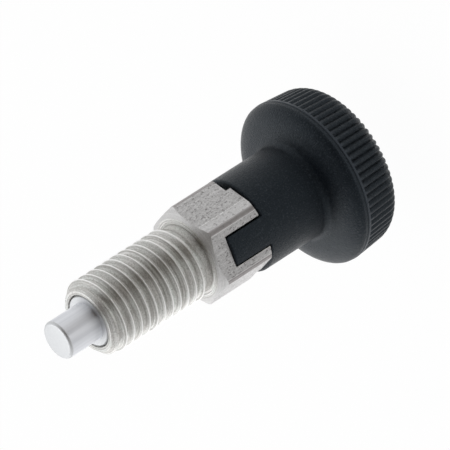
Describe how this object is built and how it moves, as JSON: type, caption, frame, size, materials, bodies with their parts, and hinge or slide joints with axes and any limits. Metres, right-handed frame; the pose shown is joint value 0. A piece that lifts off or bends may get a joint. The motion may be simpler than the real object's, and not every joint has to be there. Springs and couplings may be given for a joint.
{
  "type": "indexing plunger",
  "caption": "Indexing plunger with rest position: threaded hexagon body, sprung stepped locking pin, and a knurled mushroom pull knob whose tabs lie in a milled slot.",
  "frame": {"origin": "on the plunger's axis, on the hexagon's seating face", "axes": "+Z along the axis from the knob to the tip of the pin; the deep slot runs along Y and the rest notch along X"},
  "size_m": [0.0264, 0.0264, 0.0559],
  "materials": {
    "body_steel": "matte blasted stainless steel",
    "pin_steel": "ground and polished",
    "spring_steel": "drawn wire",
    "knob_plastic": "fine moulded texture, black grey",
    "fastener_steel": "plain",
    "cover_plastic": "fine moulded texture, black grey"
  },
  "bodies": {
    "body": {"guide_body": "body_steel", "compression_spring": "spring_steel"},
    "plunger": {"plunger_pin": "pin_steel", "knob": "knob_plastic", "knob_washer": "fastener_steel", "knob_nut": "fastener_steel", "knob_cover": "cover_plastic"}
  },
  "joints": [
    {"name": "plunger_slide", "type": "slide", "parent": "body", "child": "plunger", "axis": [0, 0, -1], "range_m": [0, 0.007], "stiffness_N_per_m": 2000, "springref_m": -0.004, "deforming": ["compression_spring"]}
  ]
}
